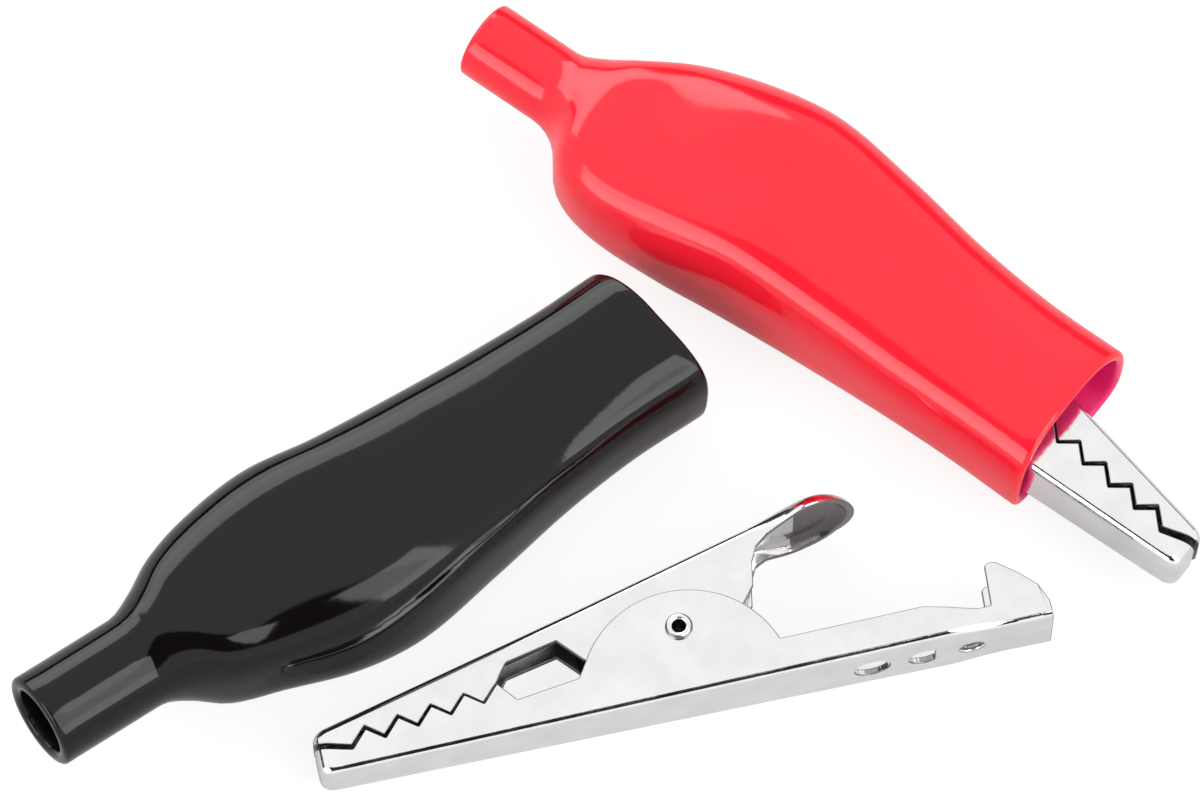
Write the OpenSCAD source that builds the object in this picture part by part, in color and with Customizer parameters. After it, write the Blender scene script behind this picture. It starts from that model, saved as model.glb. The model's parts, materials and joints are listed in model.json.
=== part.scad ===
// Two alligator clips with slip-on boots, laid out on a table: one clip wears its red
// boot, the other is bare, and its black boot lies beside it.
// Each clip is two jaws pressed from sheet, a hollow eyelet and a torsion spring.
// A clip's own frame: x runs from the nose to the tail along the outside of the lower
// web, y points from the lower jaw to the upper jaw, z is the eyelet's axis.

/* [Sheet and jaws] */
// Length of the lower jaw from nose to tail
clip_len = 49.7; // [49:0.1:50.5]
// Thickness of the pressed sheet
sheet = 0.45; // [0.3:0.05:0.6]
// Width over both jaws at the nose
nose_w = 3.9; // [3.4:0.1:4.6]
// Height over both jaws at the nose
nose_h = 3.4; // [3:0.1:4.2]
// Corner radius of the nose, seen on the webs
nose_r = 1; // [0.6:0.1:1.5]
// Angle by which each side wall spreads towards the tail
flare = 1.65; // [1.4:0.05:2]
// Angle between the two webs of a closed clip
wedge = 13.7; // [12.5:0.1:15]
// Bevel that stands for the rounded folds
fold = 0.3; // [0.1:0.05:0.4]

/* [Teeth and wire notch] */
// Number of teeth
tooth_count = 5; // [3:1:5]
// Distance from tooth to tooth
tooth_pitch = 2.28; // [1.8:0.02:2.4]
// Height of a tooth
tooth_h = 1.05; // [0.6:0.05:1.2]
// First tooth root, from the nose
tooth_start = 2.7; // [2:0.1:3.2]
// Height of the bite line at the first tooth
bite_h = 1.95; // [1.6:0.05:2.3]
// Gap between the closed jaws, at the nose
bite_gap = 0.35; // [0.1:0.05:0.5]
// Depth of the wire notch in the lower jaw
notch_low = 1; // [0.6:0.1:1.2]
// Depth of the wire notch in the upper jaw
notch_high = 1.85; // [1.2:0.05:2.2]

/* [Hinge] */
// Eyelet axis, from the nose
pivot_x = 25.5; // [24.5:0.1:27]
// Eyelet axis, above the lower web
pivot_y = 4.8; // [4.4:0.1:5.2]
// Radius of the ears of the lower jaw
ear_r = 7.1; // [6.6:0.1:7.5]
// Outer diameter of the eyelet's barrel
eyelet_d = 1.3; // [1.1:0.05:1.4]
// Bore of the eyelet
eyelet_bore = 0.85; // [0.6:0.05:0.9]
// Diameter of the eyelet's rolled heads
head_d = 1.85; // [1.8:0.05:2.4]
// Thickness of a rolled head
head_t = 0.28; // [0.2:0.02:0.4]
// Clearance between the walls of the two jaws
wall_gap = 0.06; // [0.03:0.01:0.1]

/* [Tail of the lower jaw] */
// Height of the walls behind the ears
wall_h = 2.5; // [2.2:0.1:3]
// Length of the narrowing stretch in front of the claws
pinch_len = 3.4; // [3.2:0.1:4.4]
// Depth of the pinch on each side
pinch_in = 0.5; // [0.4:0.05:0.7]
// Height of the wire claws
claw_h = 4.7; // [3.8:0.1:5.2]
// Length of the wire claws
claw_len = 3.8; // [3:0.1:4.2]
// Diameter of the round web hole
hole_d = 2.4; // [1.6:0.1:3]
// Diameter of the collared screw hole
screw_d = 1.7; // [1.2:0.1:2]

/* [Thumb pad of the upper jaw] */
// Width of the pad
pad_w = 8.2; // [7.4:0.1:8.4]
// End of the pad, from the nose
pad_end = 39; // [37.5:0.1:40]
// Depth of the rim turned down round the pad
rim_h = 0.8; // [0.6:0.05:1.1]

/* [Spring] */
// Diameter of the spring wire
wire_d = 0.45; // [0.3:0.05:0.5]
// Turns of the coil
coil_turns = 5; // [3:1:5]
// Room between the eyelet and the coil
coil_gap = 0.2; // [0.1:0.05:0.3]

/* [Boots] */
// Length of a boot's body, without its neck
body_len = 43; // [42.6:0.1:46]
// How far the nose stands out of the boot
nose_out = 11.6; // [10.5:0.1:12.5]
// Wall of the boot's body
boot_wall = 0.7; // [0.5:0.05:0.75]
// Room between the clip and the boot's body
boot_room = 0.5; // [0.4:0.05:0.8]
// Wall of the boot's neck
neck_wall = 1; // [0.7:0.05:1.2]
// Length of the red boot's straight neck
red_neck_len = 6.2; // [4:0.1:10]
// Length of the black boot's straight neck
black_neck_len = 7.7; // [4:0.1:10]
// Outer diameter of the red boot's neck
red_neck_d = 5.5; // [5.2:0.1:6.8]
// Outer diameter of the black boot's neck
black_neck_d = 6.6; // [5.8:0.1:7]
// Thickness of a boot over the broad faces at its mouth
mouth_t = 9.6; // [9:0.1:10.4]
// Scoop of the mouth's rim on the broad faces
scoop = 0.5; // [0:0.1:1.2]
// How far the red mouth is cut back along the lower jaw
red_cut = 0.4; // [0:0.1:2]
// How far the black mouth is cut back along the lower jaw
black_cut = 1.8; // [0:0.1:2.4]
// How much slimmer the empty boot stays along its edges
boot_slack = 0.35; // [0:0.05:0.4]
// How far the clip's tail pushes out the shoulder of the red boot
tail_push = 0.92; // [0.8:0.02:1.2]

/* [Layout] */
// Where the bare clip's nose lies
bare_at = [-19.07, -27.61];
// Heading of the bare clip
bare_turn = 12.7; // [5:0.1:25]
// Where the red clip's nose lies
red_at = [37.97, -13.64];
// Heading of the red clip
red_turn = 144; // [135:0.1:155]
// Where the black boot's clip frame lies
black_at = [10.19, 15.13];
// Heading of the black boot
black_turn = 216.2; // [205:0.1:225]

/* [Hidden] */
$fn = 48;
eps = 0.01;
far = 100;                  // a length beyond every piece
fit_tight = 0.02;           // room round the eyelet in the ears that hold it
fit_turn = 0.05;            // room round the eyelet in the walls that turn on it
touch_gap = 0.06;           // room between the spring's legs and the webs

// ---- lines that both jaws share -------------------------------------------------
face_x = 0.2;                                   // outside of the nose
half_w = nose_w / 2;
ear_cx = pivot_x - 0.4;                         // centre of the ears
ear_cy = pivot_y - 4.5;
tail_x = clip_len + face_x;
claw_x = tail_x - claw_len;
pinch_x = claw_x - pinch_len;
gap_angle = atan(bite_gap / pivot_x);           // the gap is a turn about the eyelet

// Outer half width of the lower jaw's plain, spreading walls
function spread(x) = half_w + (x - face_x - nose_r) * tan(flare);
// Outside of the upper web
function web_y(x) = nose_h + (x - face_x - nose_r) * tan(wedge);
// Bite line, midway between the webs
function bite(x) = bite_h + (x - tooth_start) * tan(wedge / 2);
// A point turned about the eyelet's axis
function turned(p, a) = [pivot_x + (p[0] - pivot_x) * cos(a) - (p[1] - pivot_y) * sin(a),
                         pivot_y + (p[0] - pivot_x) * sin(a) + (p[1] - pivot_y) * cos(a)];
// Points of an arc
function arc(c, r, a0, a1, n) =
    [for (i = [0:n]) let (a = a0 + (a1 - a0) * i / n) c + r * [cos(a), sin(a)]];
// Smooth step from 0 to 1 between a and b
function ease(x, a, b) = let (t = min(1, max(0, (x - a) / (b - a)))) t * t * (3 - 2 * t);

// Ends of the ears' arc: on the wall behind, on the bite line in front
ear_back = asin((wall_h - ear_cy) / ear_r);
ear_front = 180 - asin((bite(ear_cx - 0.86 * ear_r) - ear_cy) / ear_r);
ear_tip = [ear_cx, ear_cy] + ear_r * [cos(ear_front), sin(ear_front)];

// Tooth line of the lower jaw from the nose to the last tooth
tooth_lean = tooth_pitch * 0.48;
teeth = [for (i = [0:tooth_count - 1], up = [0, 1])
    let (x = tooth_start + i * tooth_pitch + up * tooth_lean)
    [x, bite(x) + (up - 0.5) * tooth_h]];
lip = [face_x, bite(face_x) + tooth_h * 0.4];
last_tooth = teeth[len(teeth) - 1];
tooth_line = concat([lip], teeth);

// Wire notch, two half openings that face each other
low_notch = [for (x = [last_tooth[0] + 1.1, ear_tip[0] - 0.7]) [x, bite(x) - notch_low]];
high_notch = [for (p = [[last_tooth[0] + 0.3, 0.5], [last_tooth[0] + 0.9, 0.9],
                        [ear_tip[0] - 1.6, 1.1]]) [p[0], bite(p[0]) + p[1] * notch_high]];

// ---- lower jaw ------------------------------------------------------------------
waist_x = claw_x + 0.6;                         // where the pinch is deepest
tail_in = 0.4;                                  // the tail's end is narrower than the walls

// Outer half width of the lower jaw, pinched to a soft waist at the front of the claws
function low_half(x) = spread(min(x, pinch_x)) - pinch_in * ease(x, pinch_x, waist_x)
    + (pinch_in - tail_in) * ease(x, waist_x, tail_x);

low_xs = concat([face_x + nose_r], [for (i = [0:14]) pinch_x + (tail_x - pinch_x) * i / 14]);

// Plan of a channel with a rounded nose: half widths at xs, drawn in by "inset"
function nose_arc(inset) =
    let (r = nose_r - inset)
    [for (i = [0:8]) let (a = 90 * i / 8) [face_x + nose_r - r * cos(a),
                                          half_w - nose_r + r * sin(a)]];
low_plan = concat(nose_arc(0), [for (x = low_xs) [x, low_half(x)]]);
low_plan_in = concat(nose_arc(sheet), [for (x = low_xs) [x, low_half(x) - sheet]],
                     [[far, low_half(tail_x) - sheet]]);

// Both halves of a plan, extruded along the height of the clip
module both_sides(half) {
    rotate([90, 0, 0])
        translate([0, 0, -far / 2])
            linear_extrude(far)
                polygon(concat(half, [for (i = [len(half) - 1:-1:0]) [half[i][0], -half[i][1]]]));
}
// A side outline, extruded across the clip
module across(outline) {
    translate([0, 0, -far / 2]) linear_extrude(far) polygon(outline);
}
// The bore of the eyelet through the walls
module eyelet_hole(gap) {
    translate([pivot_x, pivot_y, -far / 2]) cylinder(d = eyelet_d + 2 * gap, h = far);
}
// What the rounded fold between the lower web and one wall leaves away
module fold_bevel(side) {
    translate([face_x + nose_r, 0, side * half_w])
        rotate([0, -side * flare, 0])
            rotate([45, 0, 0])
                cube([2 * far, fold * sqrt(2), fold * sqrt(2)], center = true);
}

claw_top = [[tail_x, 0], [tail_x, claw_h * 0.25], [tail_x - 0.5, claw_h * 0.52],
            [claw_x + claw_len * 0.58, claw_h * 0.76], [claw_x + claw_len * 0.24, claw_h * 0.985],
            [claw_x + claw_len * 0.1, claw_h], [claw_x + 0.1, claw_h * 0.96],
            [claw_x, claw_h * 0.65]];
pinch_top = [[claw_x - 0.1, wall_h * 0.68], [claw_x - 1, wall_h * 0.66],
             [pinch_x + 1.2, wall_h * 0.76], [pinch_x - 1.2, wall_h]];
low_side = concat(arc([face_x + nose_r, nose_r], nose_r, 180, 270, 8), claw_top, pinch_top,
                  arc([ear_cx, ear_cy], ear_r, ear_back, ear_front, 30),
                  [low_notch[1], low_notch[0]],
                  [for (i = [len(tooth_line) - 1:-1:0]) tooth_line[i]]);

hole_back = 5.1;                                // round hole, in front of the pinch
d_hole_back = 1.5;                              // D hole, in front of the pinch
screw_in = 1.7;                                 // screw hole, behind the pinch's start
hole_x = pinch_x - hole_back;
d_hole_x = pinch_x - d_hole_back;
screw_x = pinch_x + screw_in;
d_hole_d = 2.2;
collar_h = 0.5;                                 // collar round the screw hole
collar_wall = 0.4;

module web_hole(x, d) {
    translate([x, -1, 0]) rotate([-90, 0, 0]) cylinder(d = d, h = 1 + sheet + eps);
}

module lower_jaw() {
    difference() {
        union() {
            difference() {
                intersection() {
                    across(low_side);
                    both_sides(low_plan);
                }
                intersection() {
                    both_sides(low_plan_in);
                    translate([0, sheet, -far / 2]) cube([2 * far, far, far]);
                }
                for (side = [-1, 1]) fold_bevel(side);
            }
            translate([screw_x, sheet / 2, 0]) rotate([-90, 0, 0])
                cylinder(d = screw_d + 2 * collar_wall, h = sheet / 2 + collar_h);
        }
        eyelet_hole(fit_tight);
        web_hole(hole_x, hole_d);
        difference() {
            web_hole(d_hole_x, d_hole_d);
            translate([d_hole_x + d_hole_d * 0.3, -2, -far / 2]) cube([far, 4, far]);
        }
        translate([screw_x, -1, 0]) rotate([-90, 0, 0])
            cylinder(d = screw_d, h = 1 + sheet + collar_h + eps);
    }
}

// ---- upper jaw ------------------------------------------------------------------
pad_round = 3.4;                                // length of the pad's rounded end
pad_flare = 4.2;                                // length over which it flares
wall_back = 5.6;                                // plain walls behind the eyelet
pad_wide = pad_end - pad_round;                 // where the pad is widest
pad_start = pad_wide - pad_flare;
wall_end = pivot_x + wall_back;
droop = 0.8;                                    // the pad's end bends down
crown = 0.4;                                    // bevel of the pad's long edges

// Outer half width of the upper jaw: flush at the nose, nested between the ears
function nested(x) = spread(x) - sheet - wall_gap;
function up_half(x) = x < ear_tip[0] - 0.3 ? half_w
    : x < pad_start ? nested(x)
    : x < pad_wide ? nested(x) + (pad_w / 2 - nested(x)) * ease(x, pad_start, pad_wide)
    : pad_w / 2 * sqrt(max(0, 1 - pow((x - pad_wide) / (pad_end - pad_wide), 2)));
pad_xs = [for (i = [0:8]) pad_start + (pad_wide - pad_start) * i / 8];
pad_angles = [for (i = [1:9]) 90 * i / 9];

function up_plan(inset) = concat(
    nose_arc(inset), [[ear_tip[0] - 0.9, half_w - inset]],
    [for (x = concat([ear_tip[0] - 0.3], pad_xs)) [x, up_half(x) - inset]],
    [for (a = pad_angles) [pad_wide + (pad_end - pad_wide - inset) * sin(a),
                           (pad_w / 2 - inset) * cos(a)]]);

// Outside of the upper web with the pad's droop, "drop" lower for its inside
droop_x = pad_wide - 1;
droop_end = pad_end + 1;
function sag(x) = droop * pow(max(0, x - droop_x) / (droop_end - droop_x), 2);
function web_line(drop) =
    [for (x = concat([face_x + nose_r], [for (i = [0:6]) droop_x + (droop_end - droop_x) * i / 6]))
        [x, web_y(x) - sag(x) - drop]];
rim_foot = [for (p = [[droop_end, 0.8], [pad_end - 1.2, 0.9], [pad_wide, 1],
                      [wall_end + 1.6, 1.1], [wall_end + 0.7, 1.4], [wall_end + 0.2, 2.2],
                      [wall_end - 0.1, 3.6]])
    [p[0], web_y(p[0]) - sag(p[0]) - rim_h * p[1]]];
under_pivot = [[wall_end - 1, pivot_y + 0.8], [pivot_x + 2.2, pivot_y - 2],
               [pivot_x - 2.2, pivot_y - 2]];
up_bite = [for (p = concat(tooth_line, high_notch, [ear_tip + [0.1, 0]])) turned(p, -gap_angle)];
up_side = concat(
    arc([face_x + nose_r, nose_h - nose_r * 0.6], nose_r * 0.6, 180, 90, 6),
    web_line(0), rim_foot, under_pivot, [for (i = [len(up_bite) - 1:-1:0]) up_bite[i]]);
sheet_y = sheet / cos(wedge);                   // sheet of the upper web, measured along y
up_hollow = concat([[-1, web_y(-1) - sheet_y]], web_line(sheet_y), [[far, -far], [-1, -far]]);

// Everything under the pad's crown: flat along the web, bevelled down to its rim
module under_crown(inset) {
    half = pad_w / 2 - inset;
    bevel = crown + inset * (sqrt(2) - 1);
    section = [[-far, half], [-inset - bevel, half], [-inset, half - bevel]];
    translate([face_x + nose_r, nose_h, 0])
        rotate([0, 0, wedge])
            rotate([90, 0, 90])
                translate([0, 0, -far])
                    linear_extrude(2 * far)
                        polygon(concat(section, [for (i = [2:-1:0]) [section[i][0], -section[i][1]]]));
}

module upper_jaw() {
    difference() {
        intersection() {
            across(up_side);
            both_sides(up_plan(0));
            under_crown(0);
        }
        intersection() {
            across(up_hollow);
            both_sides(up_plan(sheet));
            under_crown(sheet);
        }
        eyelet_hole(fit_turn);
    }
}

// ---- eyelet and spring ----------------------------------------------------------
ear_face = spread(pivot_x + head_d / 2) + eps;  // the heads bear on the ears here

module eyelet() {
    translate([pivot_x, pivot_y, 0]) difference() {
        union() {
            cylinder(d = eyelet_d, h = 2 * ear_face + eps, center = true);
            for (side = [0, 1]) mirror([0, 0, side]) translate([0, 0, ear_face]) {
                cylinder(d = head_d, h = head_t / 2);
                translate([0, 0, head_t / 2])
                    cylinder(d1 = head_d, d2 = head_d - head_t, h = head_t / 2);
            }
        }
        cylinder(d = eyelet_bore, h = far, center = true);
        for (side = [0, 1]) mirror([0, 0, side]) translate([0, 0, ear_face + head_t * 0.4])
            cylinder(d1 = eyelet_bore, d2 = eyelet_bore + head_t, h = head_t * 0.61);
    }
}

coil_r = eyelet_d / 2 + coil_gap + wire_d / 2;
coil_pitch = wire_d * 1.04;
leg_up_len = 4.4;                               // how far the legs reach behind the eyelet
leg_low_len = 5.6;
leg_up = [pivot_x + leg_up_len,
          web_y(pivot_x + leg_up_len) - (sheet + wire_d / 2 + touch_gap) / cos(wedge)];
leg_low = [pivot_x + leg_low_len, sheet + wire_d / 2 + touch_gap];

// Angle at which a leg to point p leaves the coil as a tangent, on side s
function leave(p, s) = let (d = p - [pivot_x, pivot_y], l = norm(d))
    atan2(d[1], d[0]) + s * acos(coil_r / l);
// The coil winds from the low leg round to the high leg
coil_a0 = leave(leg_low, -1);
coil_a1 = leave(leg_up, 1) + 360 * coil_turns;
coil_steps = 22 * coil_turns;
coil_len = coil_pitch * (coil_a1 - coil_a0) / 360;
coil_path = concat(
    [[leg_low[0], leg_low[1], -coil_len / 2]],
    [for (i = [0:coil_steps]) let (t = i / coil_steps, a = coil_a0 + (coil_a1 - coil_a0) * t)
        [pivot_x + coil_r * cos(a), pivot_y + coil_r * sin(a), coil_len * (t - 0.5)]],
    [[leg_up[0], leg_up[1], coil_len / 2]]);

function unit(v) = v / norm(v);
// Round wire swept along a path: each ring stands square to the path
module swept_wire(path, d, sides) {
    n = len(path);
    dirs = [for (i = [0:n - 1]) unit(path[min(i + 1, n - 1)] - path[max(i - 1, 0)])];
    rings = [for (i = [0:n - 1], k = [0:sides - 1])
        let (across_dir = unit(cross(dirs[i], [0, 0, 1])), up_dir = cross(across_dir, dirs[i]),
             a = 360 * k / sides)
        path[i] + d / 2 * (cos(a) * across_dir + sin(a) * up_dir)];
    skin = [for (i = [0:n - 2], k = [0:sides - 1]) let (k2 = (k + 1) % sides)
        each [[i * sides + k, (i + 1) * sides + k2, (i + 1) * sides + k],
              [i * sides + k, i * sides + k2, (i + 1) * sides + k2]]];
    polyhedron(rings, concat(skin, [[for (k = [sides - 1:-1:0]) k],
                                    [for (k = [0:sides - 1]) (n - 1) * sides + k]]));
}
module spring() {
    swept_wire(coil_path, wire_d, 8);
}

// ---- boots ----------------------------------------------------------------------
// Stations along the boot: share of its tapered length, lowest and highest y,
// half thickness, and how square the section is (2 is an ellipse)
mouth_x = face_x + nose_out;
neck_y = 4.75;                                  // middle of the neck
neck_lap = 1;                                   // how far neck and body overlap
function boot_stations(neck_d, full) =
    let (lo = -boot_wall - boot_room, slack = (1 - full) * boot_slack, push = full * tail_push,
         mouth_top = web_y(mouth_x) + boot_wall, pad_top = web_y(pad_wide) + boot_wall,
         mouth_b = mouth_t / 2, pad_b = pad_w / 2 + boot_wall + boot_room)
    [[0,    lo - 0.1 + slack,         mouth_top + 4.2 - slack,    mouth_b,         2.9],
     [0.14, lo + 0.1 + slack,         mouth_top + 4.3 - slack,    mouth_b,         2.9],
     [0.28, lo + 0.1 + slack,         pad_top - 0.9 - slack,      mouth_b + 0.2,   3],
     [0.43, lo + 0.05 + slack,        pad_top + 0.1 - slack,      pad_b + 0.3,     3.3],
     [0.58, lo - 0.2 + slack,         pad_top + 0.8 - slack / 2,  pad_b + 0.85,    3.5],
     [0.7,  lo - 0.95 + slack / 2,    pad_top + 0.4,              pad_b + 0.5,     3],
     [0.82, lo - 0.25 - push,         pad_top - 1.1,              pad_b - 0.45,    2.9],
     [0.9,  lo + 0.85 - push * 0.9,   pad_top - 2.3 - push,       pad_b - 0.7,     2.8],
     [0.95, neck_y - neck_d / 2 - 0.7, neck_y + neck_d / 2 + 0.7, neck_d / 2 + 0.9, 2.2],
     [1,    neck_y - neck_d / 2,      neck_y + neck_d / 2,        neck_d / 2,      2]];

// Value k at share s, on a smooth curve through the stations
function along(st, s, k) =
    let (i = max([for (j = [0:len(st) - 2]) if (st[j][0] <= s) j]),
         t = (s - st[i][0]) / (st[i + 1][0] - st[i][0]),
         h = st[i + 1][0] - st[i][0],
         m0 = i == 0 ? (st[1][k] - st[0][k]) / h
            : (st[i + 1][k] - st[i - 1][k]) / (st[i + 1][0] - st[i - 1][0]),
         m1 = i == len(st) - 2 ? 0
            : (st[i + 2][k] - st[i][k]) / (st[i + 2][0] - st[i][0]))
    (2 * pow(t, 3) - 3 * t * t + 1) * st[i][k] + (pow(t, 3) - 2 * t * t + t) * h * m0
    + (3 * t * t - 2 * pow(t, 3)) * st[i + 1][k] + (pow(t, 3) - t * t) * h * m1;

ring_sides = 32;
ring_count = 22;
// One ring of the boot's skin, drawn in by "wall"
function ring(st, s, wall, cut) =
    let (lo = along(st, s, 1), hi = along(st, s, 2), b = along(st, s, 3) - wall,
         n = along(st, s, 4), yc = (lo + hi) / 2, a = (hi - lo) / 2 - wall)
    [for (k = [0:ring_sides - 1]) let (t = 360 * k / ring_sides, c = cos(t), q = sin(t))
        [mouth_x + s * body_len + (1 - ease(s, 0, 0.2))
             * (scoop * (1 - c * c) + cut * pow((1 - c) / 2, 3)),
         yc + a * sign(c) * pow(abs(c), 2 / n),
         b * sign(q) * pow(abs(q), 2 / n)]];

// A boot: "cut" trims its mouth, "full" is 1 with a clip inside and 0 without
// The body's skin ends inside the wall of the neck, a plain tube that starts a bit earlier
module boot(neck_d, neck_len, cut, full) {
    st = boot_stations(neck_d, full);
    shares = [for (i = [0:ring_count]) pow(i / ring_count, 0.9)];
    outer = [for (s = shares) each ring(st, s, s == 1 ? neck_wall * 0.25 : 0, cut)];
    inner = [for (i = [ring_count:-1:0]) let (s = shares[i])
        each ring(st, s, s == 1 ? neck_wall * 0.75 : boot_wall, cut)];
    m = 2 * (ring_count + 1);
    polyhedron(concat(outer, inner),
        [for (i = [0:m - 1], k = [0:ring_sides - 1])
            let (i2 = (i + 1) % m, k2 = (k + 1) % ring_sides)
            each [[i * ring_sides + k, i2 * ring_sides + k, i2 * ring_sides + k2],
                  [i * ring_sides + k, i2 * ring_sides + k2, i * ring_sides + k2]]]);
    translate([mouth_x + body_len - neck_lap, neck_y, 0]) rotate([0, 90, 0]) difference() {
        cylinder(d = neck_d, h = neck_len + neck_lap);
        translate([0, 0, -eps]) cylinder(d = neck_d - 2 * neck_wall, h = far);
    }
}

// ---- how the things lie ---------------------------------------------------------
// A clip lies on its nose, its tail and its pad: slopes of that plane along x and y
lie_nose = face_x + nose_r;
lie_x = (low_half(pinch_x) - half_w) / (pinch_x - lie_nose);
pad_low_y = web_y(pad_wide) - sag(pad_wide) - rim_h;
lie_y = (pad_w / 2 - half_w - lie_x * (pad_wide - lie_nose)) / pad_low_y;
lie_h = half_w - lie_x * lie_nose;
// A boot lies on its mouth and its shoulder
boot_st = boot_stations(black_neck_d, 0);
boot_lie = max([for (i = [1:len(boot_st) - 1]) (boot_st[i][3] - boot_st[0][3])
                / (boot_st[i][0] * body_len)]);
boot_h = boot_st[0][3] - boot_lie * mouth_x;

module lay_bare() {
    translate([bare_at[0], bare_at[1], lie_h / norm([1, lie_x, lie_y])])
        rotate([atan(lie_y / norm([1, lie_x])), 0, bare_turn])
            rotate([0, -atan(lie_x), 0]) children();
}
module lay_red() {
    translate([red_at[0], red_at[1], boot_h / norm([1, boot_lie])])
        rotate([180, 0, red_turn]) rotate([0, atan(boot_lie), 0]) children();
}
module lay_black() {
    translate([black_at[0], black_at[1], boot_h / norm([1, boot_lie])])
        rotate([0, 0, black_turn]) rotate([0, -atan(boot_lie), 0]) children();
}

// ---- the pieces -----------------------------------------------------------------
module red_boot() {
    color("crimson") lay_red() boot(red_neck_d, red_neck_len, red_cut, 1);
}
module black_boot() {
    color([0.15, 0.13, 0.14]) lay_black() boot(black_neck_d, black_neck_len, black_cut, 0);
}
module bare_lower_jaw() { color("gainsboro") lay_bare() lower_jaw(); }
module bare_upper_jaw() { color("gainsboro") lay_bare() upper_jaw(); }
module bare_eyelet() { color("silver") lay_bare() eyelet(); }
module bare_spring() { color("darkgray") lay_bare() spring(); }
module red_lower_jaw() { color("gainsboro") lay_red() lower_jaw(); }
module red_upper_jaw() { color("gainsboro") lay_red() upper_jaw(); }
module red_eyelet() { color("silver") lay_red() eyelet(); }
module red_spring() { color("darkgray") lay_red() spring(); }

red_boot();
black_boot();
bare_lower_jaw();
bare_upper_jaw();
bare_eyelet();
bare_spring();
red_lower_jaw();
red_upper_jaw();
red_eyelet();
red_spring();
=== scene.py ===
import json
from math import acos, asin, atan, atan2, cos, hypot, pi, radians, sin, tan

import bmesh
import bpy
import numpy as np
from mathutils import Matrix, Vector


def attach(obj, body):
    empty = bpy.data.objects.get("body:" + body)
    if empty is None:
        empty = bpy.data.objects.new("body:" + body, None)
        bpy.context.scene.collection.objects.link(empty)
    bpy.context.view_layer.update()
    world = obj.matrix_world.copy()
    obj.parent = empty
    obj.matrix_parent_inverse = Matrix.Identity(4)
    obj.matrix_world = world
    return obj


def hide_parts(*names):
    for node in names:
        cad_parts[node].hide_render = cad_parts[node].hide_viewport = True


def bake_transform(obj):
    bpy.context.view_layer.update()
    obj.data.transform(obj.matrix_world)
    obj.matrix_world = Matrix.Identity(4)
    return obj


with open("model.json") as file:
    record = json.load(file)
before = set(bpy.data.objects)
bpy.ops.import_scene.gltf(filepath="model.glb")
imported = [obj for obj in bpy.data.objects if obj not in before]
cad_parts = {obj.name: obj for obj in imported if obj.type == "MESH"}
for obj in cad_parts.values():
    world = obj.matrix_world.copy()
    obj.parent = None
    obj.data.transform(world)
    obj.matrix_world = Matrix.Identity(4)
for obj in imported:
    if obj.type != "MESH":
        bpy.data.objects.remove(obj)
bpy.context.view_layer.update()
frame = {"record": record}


# ---- Camera -------------------------------------------------------------------
# A long lens looks down at the table from the front, at 63 degrees above it.
# Its aim is a point on the table a little behind the middle of the layout.
camera_height = radians(63)
camera_reach = 0.6
camera_aim = Vector((-0.00047, 0.002285, 0))
camera = bpy.data.objects.new("camera", bpy.data.cameras.new("camera"))
camera.data.sensor_width = 36
camera.data.lens = 265.5
camera.data.clip_start = 0.02
camera.location = camera_aim + camera_reach * Vector((0, -cos(camera_height), sin(camera_height)))
camera.rotation_euler = (pi / 2 - camera_height, 0, 0)
bpy.context.scene.collection.objects.link(camera)
bpy.context.scene.camera = camera
bpy.context.scene.view_settings.view_transform = "Standard"


# ---- Table and light ----------------------------------------------------------
# A white sheet lies under the clips and runs out past them on every side.
# Round it stands a white tent with a dark opening above its front and a dark gap low behind,
# which draw the black lines on the plated steel. One lamp hangs above, brighter ones stand low.
sheet_side = 3.0
paper_white = 0.9
paper_shown = {"camera": (0.20, 0.84), "mirrored": (0.50, 0.16)}   # colour, own light
tent_light = (0.36, 0.36, 0.37, 1)
opening_dark = 0.015
# Each edge of an opening: axis, where it starts and ends, its value at either end
front_opening = (("Y", -0.36, -0.28, 1, 0), ("Z", 0.43, 0.49, 0, 1))
back_gap = (("Y", 0.50, 0.60, 0, 1), ("Z", 0.30, 0.38, 1, 0))


def nodes_of(owner):
    owner.use_nodes = True
    owner.node_tree.nodes.clear()
    return owner.node_tree.nodes, owner.node_tree.links


def paper_shader(nodes, links, grey, glow):
    # White paper that takes the shadows, with a little light of its own
    lit = nodes.new("ShaderNodeBsdfDiffuse")
    lit.inputs["Color"].default_value = (grey, grey, grey, 1)
    own = nodes.new("ShaderNodeEmission")
    own.inputs["Strength"].default_value = glow
    both = nodes.new("ShaderNodeAddShader")
    links.new(lit.outputs[0], both.inputs[0])
    links.new(own.outputs[0], both.inputs[1])
    return both.outputs[0]


def choose(nodes, links, factor, first, second):
    mix = nodes.new("ShaderNodeMixShader")
    links.new(factor, mix.inputs[0])
    links.new(first, mix.inputs[1])
    links.new(second, mix.inputs[2])
    return mix.outputs[0]


def mirrored_rays(nodes, links, path):
    # 1 for the rays that reach the background by a reflection or through glass
    either = nodes.new("ShaderNodeMath")
    either.operation = "MAXIMUM"
    links.new(path.outputs["Is Glossy Ray"], either.inputs[0])
    links.new(path.outputs["Is Transmission Ray"], either.inputs[1])
    return either.outputs[0]


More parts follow.
